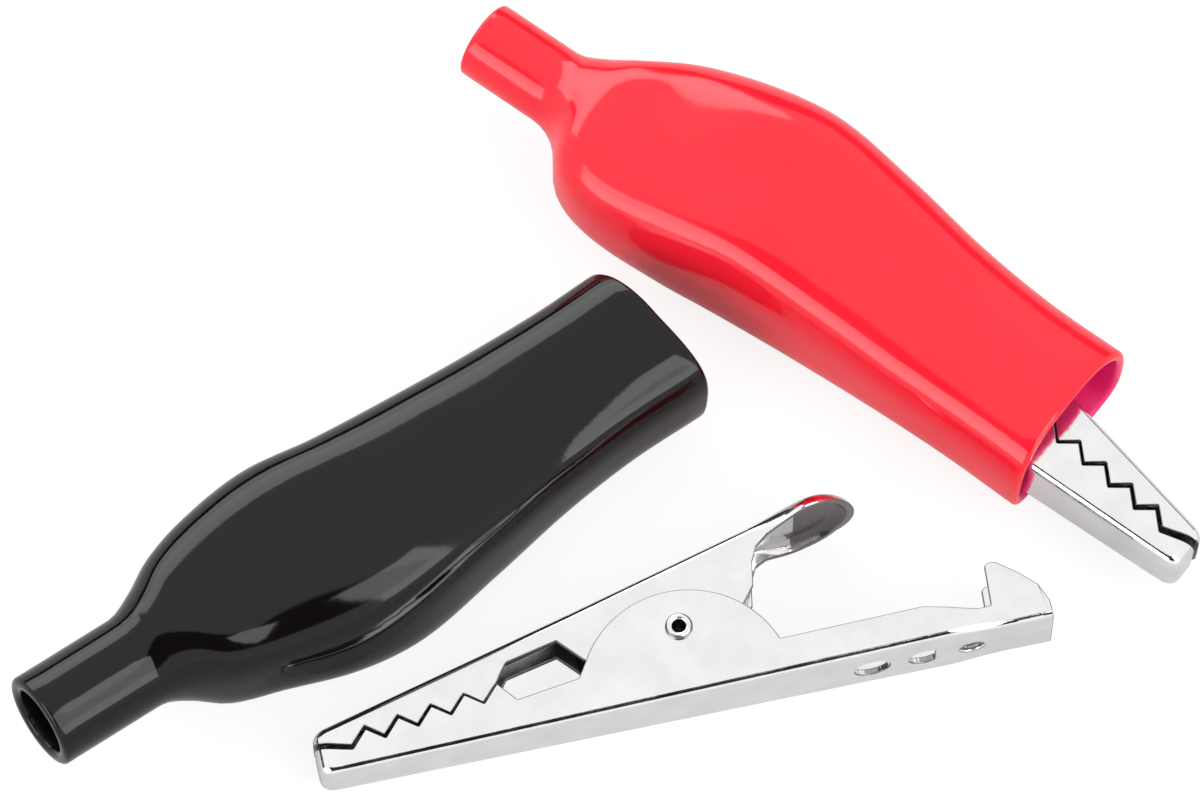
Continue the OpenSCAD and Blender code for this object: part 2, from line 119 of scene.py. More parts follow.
table_mesh = bpy.data.meshes.new("table_sheet")
table_mesh.from_pydata([(sheet_side * x, sheet_side * y, 0) for x, y in
                        ((-.5, -.5), (.5, -.5), (.5, .5), (-.5, .5))], [], [(0, 1, 2, 3)])
table = bpy.data.objects.new("table_sheet", table_mesh)
bpy.context.scene.collection.objects.link(table)
table_paper = bpy.data.materials.new("table_paper")
nodes, links = nodes_of(table_paper)
path = nodes.new("ShaderNodeLightPath")
plain = paper_shader(nodes, links, paper_white, 0)
mirrored = paper_shader(nodes, links, *paper_shown["mirrored"])
straight = paper_shader(nodes, links, *paper_shown["camera"])
seen = choose(nodes, links, mirrored_rays(nodes, links, path), plain, mirrored)
seen = choose(nodes, links, path.outputs["Is Camera Ray"], seen, straight)
paper_out = nodes.new("ShaderNodeOutputMaterial")
links.new(seen, paper_out.inputs["Surface"])
table_mesh.materials.append(table_paper)

tent = bpy.data.worlds.new("tent")
bpy.context.scene.world = tent
nodes, links = nodes_of(tent)
path = nodes.new("ShaderNodeLightPath")
grey = nodes.new("ShaderNodeBackground")
grey.inputs["Color"].default_value = tent_light
white = nodes.new("ShaderNodeBackground")
white.inputs["Color"].default_value = (1, 1, 1, 1)
toward = nodes.new("ShaderNodeTexCoord")
parts = nodes.new("ShaderNodeSeparateXYZ")
links.new(toward.outputs["Generated"], parts.inputs[0])


def opening_in_tent(*edges):
    # 1 inside the opening, 0 outside, with soft edges
    opening = nodes.new("ShaderNodeMath")
    opening.operation = "MULTIPLY"
    for side, (part, low, high, at_low, at_high) in enumerate(edges):
        edge = nodes.new("ShaderNodeMapRange")
        edge.interpolation_type = "SMOOTHSTEP"
        for label, value in (("From Min", low), ("From Max", high), ("To Min", at_low),
                             ("To Max", at_high)):
            edge.inputs[label].default_value = value
        links.new(parts.outputs[part], edge.inputs["Value"])
        links.new(edge.outputs["Result"], opening.inputs[side])
    return opening.outputs[0]


openings = nodes.new("ShaderNodeMath")
openings.operation = "MAXIMUM"
links.new(opening_in_tent(*front_opening), openings.inputs[0])
links.new(opening_in_tent(*back_gap), openings.inputs[1])
dark = nodes.new("ShaderNodeBackground")
dark.inputs["Color"].default_value = (opening_dark, opening_dark, opening_dark, 1)
mirrored_tent = choose(nodes, links, openings.outputs[0], white.outputs[0], dark.outputs[0])
seen = choose(nodes, links, mirrored_rays(nodes, links, path), grey.outputs[0], mirrored_tent)
seen = choose(nodes, links, path.outputs["Is Camera Ray"], seen, white.outputs[0])
tent_out = nodes.new("ShaderNodeOutputWorld")
links.new(seen, tent_out.inputs["Surface"])


def soft_lamp(name, bearing, height, reach, width, depth, brightness):
    # A flat panel that faces the clips; brightness is its own, 1 shows as white
    lamp = bpy.data.objects.new(name, bpy.data.lights.new(name, "AREA"))
    lamp.data.shape = "RECTANGLE"
    lamp.data.size = width
    lamp.data.size_y = depth
    lamp.data.energy = pi * width * depth * brightness
    lamp.location = reach * Vector((cos(height) * sin(bearing), cos(height) * cos(bearing),
                                    sin(height)))
    lamp.rotation_euler = lamp.location.to_track_quat("Z", "Y").to_euler()
    bpy.context.scene.collection.objects.link(lamp)
    return lamp


# Bearing, height, distance, width, depth and brightness of each lamp. The steel mirrors the
# tent, so the lamp above isn't mirrored too.
soft_lamp("lamp_above", 0, radians(66), 1.25, 1.6, 0.9, 0.75).visible_glossy = False
soft_lamp("lamp_front_right", radians(127), radians(38), 1.0, 0.66, 1.05, 3.4)
soft_lamp("lamp_front_left", radians(228), radians(26), 1.0, 0.7, 0.6, 3.3)
soft_lamp("lamp_left", radians(-29), radians(26), 1.0, 1.3, 0.6, 2.6)


# ---- Lower jaws ---------------------------------------------------------------
# The lower jaw of each clip is pressed from 0.45 mm steel sheet: a web, two walls with
# teeth, a notch and ears for the hinge, and a tail with wire claws. It is nickel plated.
MM = 0.001
sheet = 0.45
clip_len, face_x = 49.7, 0.2
nose_w, nose_h, nose_r = 3.9, 3.4, 1.0
flare, wedge = tan(radians(1.65)), tan(radians(13.7))  # the jaw widens and its back rises
pivot_x, pivot_y = 25.5, 4.8
tooth_count, tooth_pitch, tooth_h, tooth_start = 5, 2.28, 1.05, 2.7
bite_h, bite_slope, bite_gap = 1.95, tan(radians(13.7 / 2)), 0.35
notch_low = 1.0
ear_x, ear_y, ear_r = pivot_x - 0.4, pivot_y - 4.5, 7.1
wall_h, claw_h, claw_len = 2.5, 4.7, 3.8
low_bend, nose_more = 0.62, 0.1        # the web's fold, and what the nose adds to it
edge_round = 0.07                      # how far a sheared edge is rounded
pinch_len, pinch_in, tail_in = 3.4, 0.5, 0.4
eyelet_d, fit_tight, fit_turn = 1.3, 0.02, 0.05
half_nose = nose_w / 2
tail_x = clip_len + face_x
claw_x = tail_x - claw_len
pinch_x = claw_x - pinch_len
waist_x = claw_x + 0.6


def spread(x):
    # Half the width of a jaw, x mm from its nose
    return half_nose + (x - face_x - nose_r) * flare


def bite(x):
    # The height of the line on which the teeth of both jaws meet
    return bite_h + (x - tooth_start) * bite_slope


def web_y(x):
    # The height of the upper jaw's back
    return nose_h + (x - face_x - nose_r) * wedge


def ease(x, start, end):
    # Goes smoothly from 0 at start to 1 at end
    t = min(1, max(0, (x - start) / (end - start)))
    return t * t * (3 - 2 * t)


def low_half(x):
    # Half the width of the lower jaw, which narrows at the crimp
    return (spread(min(x, pinch_x)) - pinch_in * ease(x, pinch_x, waist_x)
            + (pinch_in - tail_in) * ease(x, waist_x, tail_x))


def nose_arc(steps=8):
    # The round corner of the nose, from its middle to its side
    angles = [pi / 2 * i / steps for i in range(steps + 1)]
    return [(face_x + nose_r - nose_r * cos(a), half_nose - nose_r + nose_r * sin(a))
            for a in angles]


def handled_group():
    # Fine grain, shallow waves and patches of duller surface, as handling leaves them
    group = bpy.data.node_groups.new("handled surface", "ShaderNodeTree")
    for label, kind, value in (("Vector", "NodeSocketVector", None),
                               ("Patch scale", "NodeSocketFloat", 400.0),
                               ("Grain scale", "NodeSocketFloat", 9000.0),
                               ("Smooth", "NodeSocketFloat", 0.1),
                               ("Dull", "NodeSocketFloat", 0.2),
                               ("Wave share", "NodeSocketFloat", 0.7)):
        socket = group.interface.new_socket(label, in_out="INPUT", socket_type=kind)
        if value is not None:
            socket.default_value = value
    for label in ("Roughness", "Height", "Patches"):
        group.interface.new_socket(label, in_out="OUTPUT", socket_type="NodeSocketFloat")
    n, l = group.nodes, group.links
    given = n.new("NodeGroupInput")
    out = n.new("NodeGroupOutput")
    patches = n.new("ShaderNodeTexNoise")
    patches.inputs["Detail"].default_value = 3
    grain = n.new("ShaderNodeTexNoise")
    grain.inputs["Detail"].default_value = 4
    l.new(given.outputs["Vector"], patches.inputs["Vector"])
    l.new(given.outputs["Patch scale"], patches.inputs["Scale"])
    l.new(given.outputs["Vector"], grain.inputs["Vector"])
    l.new(given.outputs["Grain scale"], grain.inputs["Scale"])
    spread_out = n.new("ShaderNodeMapRange")
    spread_out.inputs["From Min"].default_value = 0.3
    spread_out.inputs["From Max"].default_value = 0.7
    l.new(patches.outputs["Fac"], spread_out.inputs["Value"])
    l.new(given.outputs["Smooth"], spread_out.inputs["To Min"])
    l.new(given.outputs["Dull"], spread_out.inputs["To Max"])
    blend = n.new("ShaderNodeMix")
    l.new(given.outputs["Wave share"], blend.inputs["Factor"])
    l.new(grain.outputs["Fac"], blend.inputs["A"])
    l.new(patches.outputs["Fac"], blend.inputs["B"])
    l.new(spread_out.outputs["Result"], out.inputs["Roughness"])
    l.new(blend.outputs["Result"], out.inputs["Height"])
    l.new(patches.outputs["Fac"], out.inputs["Patches"])
    return group


handled = handled_group()


def finish_material(name, light, deep, patch, grain, smooth, dull, waves, relief, **shader):
    # One finish: two close shades in patches, uneven gloss from smooth to dull, and a fine
    # relief in mm. Patch and grain are scales, waves the patches' share of the relief.
    material = bpy.data.materials.new(name)
    n, l = nodes_of(material)
    out = n.new("ShaderNodeOutputMaterial")
    skin = n.new("ShaderNodeBsdfPrincipled")
    place = n.new("ShaderNodeTexCoord")
    surface = n.new("ShaderNodeGroup")
    surface.node_tree = handled
    for label, value in (("Patch scale", patch), ("Grain scale", grain), ("Smooth", smooth),
                         ("Dull", dull), ("Wave share", waves)):
        surface.inputs[label].default_value = value
    shades = n.new("ShaderNodeMix")
    shades.data_type = "RGBA"
    shades.inputs["A"].default_value = (*deep, 1)
    shades.inputs["B"].default_value = (*light, 1)
    bump = n.new("ShaderNodeBump")
    bump.inputs["Strength"].default_value = 1
    bump.inputs["Distance"].default_value = relief * MM
    l.new(place.outputs["Object"], surface.inputs["Vector"])
    l.new(surface.outputs["Patches"], shades.inputs["Factor"])
    l.new(shades.outputs["Result"], skin.inputs["Base Color"])
    l.new(surface.outputs["Roughness"], skin.inputs["Roughness"])
    l.new(surface.outputs["Height"], bump.inputs["Height"])
    l.new(bump.outputs["Normal"], skin.inputs["Normal"])
    l.new(skin.outputs[0], out.inputs["Surface"])
    for label, value in shader.items():
        skin.inputs[label.replace("_", " ")].default_value = value
    return material


nickel = finish_material(
    "nickel_plate", (0.98, 0.98, 0.98), (0.76, 0.76, 0.76), patch=420, grain=7000,
    smooth=0.06, dull=0.14, waves=0.92, relief=0.035, Metallic=1.0)
# A darker copy of the nickel: painted shade, put inside the jaws, in the bores and round the
# eyelets' heads, where shade falls
painted_shade_nickel = finish_material(
    "nickel_painted_shade", (0.26, 0.26, 0.25), (0.16, 0.16, 0.16), patch=500, grain=9000,
    smooth=0.25, dull=0.40, waves=0.7, relief=0.02, Metallic=1.0)
# Darker, duller steel for cut faces and rounded edges: partly the bare cut steel, partly painted
# shade that draws the dark lines along the edges and in the teeth's gap
sheared_steel_and_painted_shade = finish_material(
    "sheared_edge_and_painted_shade", (0.30, 0.30, 0.30), (0.20, 0.20, 0.20), patch=900, grain=9000,
    smooth=0.22, dull=0.36, waves=0.6, relief=0.015, Metallic=1.0)


def pressed_channel(plan, fold, crest, reach, closed, straight_to, dull):
    # The sheet drawn to a channel: plan runs from the middle of the nose along one side,
    # fold gives the radius of the bend at each x, crest(x, depth) the height of a point.
    # A closed channel ends in a rounded end wall, an open one in two straight edges.
    # The walls are straight from the nose's round to straight_to. Inside the jaws, wherever
    # dull(x) says so, the faces get the darker nickel: painted shade, as little light gets in.
    plan = np.array(plan, float)
    tangent = np.gradient(plan, axis=0)
    tangent[0] = (0, 1)
    if closed:
        tangent[-1] = (0, -1)
    tangent /= np.linalg.norm(tangent, axis=1)[:, None]
    inward = np.stack([tangent[:, 1], -tangent[:, 0]], axis=1)
    inward[(plan[:, 0] > face_x + 1.5 * nose_r) & (plan[:, 0] < straight_to)] = (0, -1)
    bends = [pi / 2 * k / 8 for k in range(9)]
    verts, faces = [], []
    count = len(plan)
    columns = 2 * count - 1

    def skin(skin_in, flip):
        first = len(verts)
        for column in range(columns):
            i = abs(column - count + 1)
            side = -1 if column < count - 1 else 1
            radius = fold(plan[i][0])
            bend = radius - skin_in
            rows = [(skin_in, reach)]
            rows += [(skin_in + bend * (1 - cos(a)), skin_in + bend * (1 - sin(a)))
                     for a in bends]
            for inset, depth in rows:
                x, z = plan[i] + inward[i] * inset
                verts.append((x, crest(x, depth), side * max(z, 0)))
        rows = len(bends) + 1
        at = lambda column, row: first + column * rows + row
        for column in range(columns - 1):
            for row in range(rows - 1):
                quad = [at(column, row), at(column + 1, row),
                        at(column + 1, row + 1), at(column, row + 1)]
                faces.append(quad[::-1] if flip else quad)
        mid = count - 1
        for j in range(count - 1):
            quad = [at(mid - j, rows - 1), at(mid - j - 1, rows - 1),
                    at(mid + j + 1, rows - 1), at(mid + j, rows - 1)]
            quad = [v for n, v in enumerate(quad) if v not in quad[:n]]
            faces.append(quad[::-1] if flip else quad)
        return at, rows

    outer, rows = skin(0, False)
    outside = len(faces)
    inner, rows = skin(sheet, True)
    # Inner faces where dull(x) holds take the painted shade
    shades = [int(k >= outside and dull(verts[face[0]][0])) for k, face in enumerate(faces)]
    for column in range(columns - 1):
        faces.append([outer(column, 0), inner(column, 0),
                      inner(column + 1, 0), outer(column + 1, 0)])
    if not closed:
        last = columns - 1
        for column, turn in ((0, 1), (last, -1)):
            for row in range(rows - 1):
                faces.append([outer(column, row), outer(column, row + 1),
                              inner(column, row + 1), inner(column, row)][::turn])
        faces.append([outer(0, rows - 1), outer(last, rows - 1),
                      inner(last, rows - 1), inner(0, rows - 1)])
    shades += [0] * (len(faces) - len(shades))
    return solid_object("channel", verts, faces, [nickel, painted_shade_nickel], shades)


def solid_object(name, verts, faces, materials, shades=None):
    # A closed mesh; shades gives each face the number of its material
    mesh = bpy.data.meshes.new(name)
    mesh.from_pydata([tuple(map(float, v)) for v in verts], [], faces)
    for material in materials:
        mesh.materials.append(material)
    if shades:
        mesh.polygons.foreach_set("material_index", shades)
    work = bmesh.new()
    work.from_mesh(mesh)
    bmesh.ops.remove_doubles(work, verts=work.verts, dist=1e-4)
    bmesh.ops.dissolve_degenerate(work, edges=work.edges, dist=1e-5)
    bmesh.ops.recalc_face_normals(work, faces=work.faces)
    work.to_mesh(mesh)
    work.free()
    part = bpy.data.objects.new(name, mesh)
    bpy.context.scene.collection.objects.link(part)
    return part


def prism(outline, low, high, lift, left=sheared_steel_and_painted_shade):
    # A flat outline given thickness from low to high; lift(u, v, w) turns it into place.
    # A cut made with it leaves faces of the material "left".
    n = len(outline)
    verts = [lift(u, v, w) for w in (low, high) for u, v in outline]
    faces = [list(range(n))[::-1], list(range(n, 2 * n))]
    faces += [[i, (i + 1) % n, n + (i + 1) % n, n + i] for i in range(n)]
    return solid_object("cutter", verts, faces, [left])


def across(outline):
    # A cutter through both walls
    return prism(outline, -8, 8, lambda u, v, w: (u, v, w))


def round_hole(x, y, d, along_y=False, flat_at=None):
    # A drill through the walls, or along y through the web. A flat on it makes a D hole.
    steps = 48
    ring = [(d / 2 * cos(2 * pi * i / steps), d / 2 * sin(2 * pi * i / steps))
            for i in range(steps)]
    if flat_at is not None:
        ring = [(min(u, flat_at), v) for u, v in ring]
    if along_y:
        return prism([(x + u, v) for u, v in ring], -1, 1.5, lambda u, v, w: (u, w, v), nickel)
    return across([(x + u, y + v) for u, v in ring])


def finished(part, keep, cuts):
    # Cuts the part to its outline, takes the holes out and rounds every sheared edge
    for cutter, how in [(keep, "INTERSECT")] + [(c, "DIFFERENCE") for c in cuts]:
        cut = part.modifiers.new("cut", "BOOLEAN")
        cut.operation = how
        cut.solver = "EXACT"
        cut.use_self = True
        cut.material_mode = "TRANSFER"
        cut.object = cutter
        cutter.hide_render = True
    mesh = evaluated_mesh(part)
    for cutter in [keep] + cuts:
        bpy.data.objects.remove(cutter)
    part.modifiers.clear()
    work = bmesh.new()
    work.from_mesh(mesh)
    bmesh.ops.remove_doubles(work, verts=work.verts, dist=2e-4)
    bmesh.ops.dissolve_degenerate(work, edges=work.edges, dist=2e-4)
    bmesh.ops.dissolve_limit(work, angle_limit=radians(0.3), verts=work.verts, edges=work.edges)
    bmesh.ops.recalc_face_normals(work, faces=work.faces)
    work.to_mesh(mesh)
    work.free()
    part.data = mesh
    # The rounded edges take the darker cut-steel material, partly as painted shade lines
    round_edge = part.modifiers.new("sheared_edge_and_painted_shade", "BEVEL")
    round_edge.width = edge_round
    round_edge.segments = 2
    round_edge.limit_method = "ANGLE"
    round_edge.angle_limit = radians(38)
    round_edge.use_clamp_overlap = False
    round_edge.miter_outer = "MITER_ARC"
    round_edge.material = mesh.materials.find(sheared_steel_and_painted_shade.name)
    part.data = evaluated_mesh(part)
    part.modifiers.clear()
    part.data.polygons.foreach_set("use_smooth", [True] * len(part.data.polygons))
    level = part.modifiers.new("flat_faces", "WEIGHTED_NORMAL")
    level.keep_sharp = True
    level.weight = 80
    part.data = evaluated_mesh(part)
    part.modifiers.clear()
    return part


def evaluated_mesh(part):
    # The part's mesh with its modifiers worked in
    bpy.context.view_layer.update()
    shape = part.evaluated_get(bpy.context.evaluated_depsgraph_get())
    return bpy.data.meshes.new_from_object(shape)


def arc(cx, cy, r, start, end, steps):
    return [(cx + r * cos(start + (end - start) * i / steps),
             cy + r * sin(start + (end - start) * i / steps)) for i in range(steps + 1)]


ear_back = asin((wall_h - ear_y) / ear_r)
ear_front = pi - asin((bite(ear_x - 0.86 * ear_r) - ear_y) / ear_r)
ear_tip = (ear_x + ear_r * cos(ear_front), ear_y + ear_r * sin(ear_front))
lip = (face_x - 1, bite(face_x) + tooth_h * 0.4)
tooth_line = [lip, (face_x + 0.1, lip[1])]
for tooth in range(tooth_count):
    root = tooth_start + tooth * tooth_pitch
    tip = root + tooth_pitch * 0.48
    tooth_line += [(root, bite(root) - tooth_h / 2), (tip, bite(tip) + tooth_h / 2)]
last_tooth = tooth_line[-1][0]
claw_top = [(tail_x, -1), (tail_x, claw_h * 0.25), (tail_x - 0.5, claw_h * 0.52),
            (claw_x + claw_len * 0.58, claw_h * 0.76), (claw_x + claw_len * 0.24, claw_h * 0.985),
            (claw_x + claw_len * 0.1, claw_h), (claw_x + 0.1, claw_h * 0.96),
            (claw_x, claw_h * 0.65)]
pinch_top = [(claw_x - 0.1, wall_h * 0.68), (claw_x - 1, wall_h * 0.66),
             (pinch_x + 1.2, wall_h * 0.76), (pinch_x - 1.2, wall_h)]
low_outline = ([(face_x - 1, -1)] + claw_top + pinch_top
               + arc(ear_x, ear_y, ear_r, ear_back, ear_front, 40)
               + [(x, bite(x) - notch_low) for x in (ear_tip[0] - 0.7, last_tooth + 1.1)]
               + tooth_line[::-1])
hole_x, hole_d = pinch_x - 5.1, 2.4
d_hole_x, d_hole_d = pinch_x - 1.5, 2.2
screw_x, screw_d = pinch_x + 1.7, 1.7
low_xs = ([face_x + nose_r + step for step in (0.3, 0.8, 1.5, 3)] + [pivot_x, pinch_x - 0.01]
          + [pinch_x + (tail_x - pinch_x) * i / 28 for i in range(1, 29)] + [tail_x + 1])
low_plan = nose_arc() + [(x, low_half(x)) for x in low_xs]
# Inside, in front of the hinge, the jaw is painted in shade
lower_jaw = finished(
    pressed_channel(low_plan, lambda x: low_bend + nose_more * (1 - ease(x, 0.6, 2)),
                    lambda x, depth: depth, 9, False, tail_x + 2, lambda x: x < pivot_x),
    across(low_outline),
    [round_hole(pivot_x, pivot_y, eyelet_d + 2 * fit_tight),
     round_hole(hole_x, 0, hole_d, True),
     round_hole(d_hole_x, 0, d_hole_d, True, flat_at=d_hole_d * 0.3),
     round_hole(screw_x, 0, screw_d, True)])


record = frame["record"]
hinges = {joint["name"]: joint for joint in record["behaviour"]["joints"]}
mounts = {mount["name"]: mount for mount in record["mounts"]}


def clip_place(hinge, jaws, turn):
    # Where a clip lies: from its hinge's place and axis and the way its jaws point
    along = -Vector(jaws["axis"]).normalized()
    axis = turn * Vector(hinge["axis"]).normalized()
    up = axis.cross(along).normalized()
    place = Matrix.Identity(4)
    for column, direction in enumerate((along, up, axis)):
        place.col[column][:3] = direction * MM
    place.translation = Vector(hinge["pos_m"]) - (along * pivot_x + up * pivot_y) * MM
    return place


bare_place = clip_place(hinges["bare_hinge"], mounts["bare_jaws"], 1)
red_place = clip_place(hinges["red_hinge"], mounts["red_jaws"], -1)


def lay(part, name, place, material, body, node):
    # A copy of the part, laid in its place and fixed to the body that it moves with
    mesh = part.data.copy()
    mesh.transform(place)
    mesh.materials[0] = material
    piece = bpy.data.objects.new(name, mesh)
    bpy.context.scene.collection.objects.link(piece)
    if body:
        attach(piece, body)
    if node:
        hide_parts(node)
    return piece


lay(lower_jaw, "bare_lower_jaw_plate", bare_place, nickel, "bare_lower", "bare_lower_jaw")
lay(lower_jaw, "red_lower_jaw_plate", red_place, nickel, "laid_out", "red_lower_jaw")
bpy.data.objects.remove(lower_jaw)


# ---- Screw collars ------------------------------------------------------------
# The web is drawn up into a short collar round the screw hole and tapped.
# Its inside shows the crests of a few turns of thread.
collar_wall, collar_h, thread_pitch, thread_h = 0.4, 0.5, 0.25, 0.07


def turned_ring(profile, place, steps=64):
    # A closed profile (radius, height) turned about the z axis
    n = len(profile)
    verts = [(r * cos(2 * pi * i / steps), r * sin(2 * pi * i / steps), h)
             for i in range(steps) for r, h in profile]
    faces = [[i * n + k, (i + 1) % steps * n + k,
              (i + 1) % steps * n + (k + 1) % n, i * n + (k + 1) % n]
             for i in range(steps) for k in range(n)]
    ring = solid_object("ring", verts, faces, [nickel, painted_shade_nickel])
    ring.data.transform(place)
    ring.data.polygons.foreach_set("use_smooth", [True] * len(ring.data.polygons))
    return ring


collar_top = sheet + collar_h
collar_r = screw_d / 2 + collar_wall
thread = []
for step in range(int(collar_top / thread_pitch * 2) + 1):
    height = 0.02 + step * thread_pitch / 2
    thread.append((screw_d / 2 - (thread_h if step % 2 else 0), min(height, collar_top - 0.08)))
collar_profile = ([(collar_r + 0.25, sheet - 0.01), (collar_r + 0.06, sheet + 0.08),
                   (collar_r, collar_top - 0.1), (collar_r - 0.08, collar_top),
                   (screw_d / 2 + 0.06, collar_top)] + thread[::-1]
                  + [(collar_r, 0.02)])
collar_stand = Matrix.Translation((screw_x, 0, 0)) @ Matrix.Rotation(-pi / 2, 4, "X")
collar = turned_ring(collar_profile, collar_stand)
# The thread's faces inside the bore take the darker nickel: painted shade in the bore
for face in collar.data.polygons:
    if hypot(face.center.x - screw_x, face.center.z) < screw_d / 2 and face.normal.y > 0:
        face.material_index = 1
lay(collar, "bare_screw_collar", bare_place, nickel, "bare_lower", "bare_lower_jaw")
lay(collar, "red_screw_collar", red_place, nickel, "laid_out", "red_lower_jaw")
bpy.data.objects.remove(collar)


# ---- Upper jaws ---------------------------------------------------------------
# The upper jaw is pressed from the same sheet. Its walls turn between the ears of the
# lower jaw, and behind them the web spreads into a thumb pad with turned-down edges.
notch_high = 1.85
pad_w, pad_end, pad_round, pad_flare, rim_h, droop = 8.2, 39.0, 3.4, 4.2, 1.1, 0.8
up_bend, pad_bend = 0.6, 1.8           # the web's fold, and the pad's wide one
rim_slack = 0.14                       # what the pad's cut rim takes off again
pad_wide = pad_end - pad_round
pad_start = pad_wide - pad_flare
wall_end = pivot_x + 5.6
droop_x, droop_end = pad_wide - 1, pad_end + 1
gap_angle = atan(bite_gap / pivot_x)


def nested(x):
    # Half the width of the upper jaw where it turns between the ears
    return spread(x) - sheet - 0.06


def up_half(x):
    if x < pad_start:
        return half_nose + (nested(x) - half_nose) * ease(x, ear_tip[0] - 0.9, ear_tip[0] - 0.3)
    return nested(x) + (pad_w / 2 + rim_slack - nested(x)) * ease(x, pad_start, pad_wide)


def crest(x):
    # The height of the back, with the droop of the thumb pad's end
    return web_y(x) - droop * (max(0, x - droop_x) / (droop_end - droop_x)) ** 2


def turned(point, angle):
    # The point turned about the hinge
    x, y = point[0] - pivot_x, point[1] - pivot_y
    return (pivot_x + x * cos(angle) - y * sin(angle), pivot_y + x * sin(angle) + y * cos(angle))


up_xs = ([face_x + nose_r + step for step in (0.3, 0.8, 1.5, 3)]
         + [ear_tip[0] - 0.9 + 0.6 * i / 6 for i in range(7)]
         + [pivot_x, pad_start - 0.5]
         + [pad_start + (pad_wide - pad_start) * i / 20 for i in range(21)])
pad_ring = [(pad_wide + (pad_round + rim_slack) * sin(pi / 2 * i / 16),
             (pad_w / 2 + rim_slack) * cos(pi / 2 * i / 16))
            for i in range(1, 16)] + [(pad_end + rim_slack, 0)]
up_plan = nose_arc() + [(x, up_half(x)) for x in up_xs] + pad_ring
high_notch = [(x, bite(x) + rise * notch_high) for x, rise in
              ((last_tooth + 0.3, 0.5), (last_tooth + 0.9, 0.9), (ear_tip[0] - 1.6, 1.1))]
rim_foot = [(x, crest(x) - rim_h * share) for x, share in
            ((droop_end + 2, 0.8), (pad_end - 1.2, 0.9), (pad_wide, 1), (wall_end + 1.6, 1.1),
             (wall_end + 0.7, 1.4), (wall_end + 0.2, 2.2), (wall_end - 0.1, 3.6))]
# The worn teeth of the red clip stand apart, back along the jaw and away from it
for node, place, body, (back, apart) in (
        ("bare_upper_jaw", bare_place, "laid_out", (0, 0.01)),
        ("red_upper_jaw", red_place, "red_upper", (0.1, 0.14))):
    up_bite = [turned((x + back, y + apart), -gap_angle) for x, y in tooth_line + high_notch]
    up_bite.append(turned((ear_tip[0] + 0.1, ear_tip[1]), -gap_angle))
    up_outline = ([(face_x - 1, 20), (droop_end + 2, 20)] + rim_foot
                  + [(wall_end - 1, pivot_y + 0.8), (pivot_x + 2.2, pivot_y - 2),
                     (pivot_x - 2.2, pivot_y - 2)] + up_bite[::-1])
    # Inside, in front of the hinge and at the pad's end, the jaw is painted in shade
    upper_jaw = finished(
        pressed_channel(
            up_plan, lambda x: up_bend + (pad_bend - up_bend) * ease(x, pad_start, pad_wide),
            lambda x, depth: crest(x) - depth, 12, True,
            pad_wide + 0.01, lambda x: x < pivot_x or x > pad_wide - 1),
        across(up_outline), [round_hole(pivot_x, pivot_y, eyelet_d + 2 * fit_turn)])
    lay(upper_jaw, node + "_plate", place, nickel, body, node)
    bpy.data.objects.remove(upper_jaw)


# ---- Torsion springs ----------------------------------------------------------
# Five turns of 0.45 mm spring wire sit round the eyelet between the jaws' walls.
# One leg presses on each web.
wire_d, coil_turns, coil_gap, touch_gap = 0.45, 5, 0.2, 0.06
coil_steps, coil_pitch = 36, wire_d * 1.04     # steps and pitch of one turn
coil_r = eyelet_d / 2 + coil_gap + wire_d / 2
wedge_angle = atan(wedge)
leg_up = (pivot_x + 4.4, web_y(pivot_x + 4.4) - (sheet + wire_d / 2 + touch_gap) / cos(wedge_angle))
leg_low = (pivot_x + 5.6, sheet + wire_d / 2 + touch_gap)


def leave(point, side):
    # The angle at which a straight leg to the point leaves the coil
    x, y = point[0] - pivot_x, point[1] - pivot_y
    return atan2(y, x) + side * acos(coil_r / hypot(x, y))


wind_start = leave(leg_low, -1)
wind_end = leave(leg_up, 1) + 2 * pi * coil_turns
coil_len = coil_pitch * (wind_end - wind_start) / (2 * pi)


class Tree:
    # A Geometry Nodes tree with named inputs
    def __init__(self, name, inputs):
        self.tree = bpy.data.node_groups.new(name, "GeometryNodeTree")
        for label, kind in inputs:
            self.tree.interface.new_socket(label, in_out="INPUT", socket_type="NodeSocket" + kind)
        self.tree.interface.new_socket("Geometry", in_out="OUTPUT",
                                       socket_type="NodeSocketGeometry")
        self.given = self.add("NodeGroupInput").outputs

    def add(self, kind, settings=None, **inputs):
        node = self.tree.nodes.new(kind)
        for key, value in (settings or {}).items():
            setattr(node, key, value)
        for label, value in inputs.items():
            self.put(node.inputs[label.replace("_", " ")], value)
        return node

    def put(self, socket, value):
        if isinstance(value, bpy.types.NodeSocket):
            self.tree.links.new(value, socket)
        else:
            socket.default_value = value

    def calc(self, operation, *values):
        node = self.add("ShaderNodeMath", {"operation": operation})
        for socket, value in zip(node.inputs, values):
            self.put(socket, value)
        return node.outputs[0]

    def end(self, geometry, material):
        real = self.add("GeometryNodeRealizeInstances", Geometry=geometry)
        made = self.add("GeometryNodeSetMaterial", Geometry=real.outputs[0], Material=material)
        out = self.add("NodeGroupOutput")
        self.put(out.inputs["Geometry"], made.outputs[0])

    def grow(self, name, start, values):
        # Runs the tree on a start mesh and keeps the result as a plain mesh
        part = bpy.data.objects.new(name, start or bpy.data.meshes.new(name))
        bpy.context.scene.collection.objects.link(part)
        maker = part.modifiers.new("maker", "NODES")
        maker.node_group = self.tree
        ids = {item.name: item.identifier for item in self.tree.interface.items_tree
               if item.in_out == "INPUT"}
        for label, value in values.items():
            maker[ids[label]] = value
        part.data = evaluated_mesh(part)
        part.modifiers.clear()
        return part


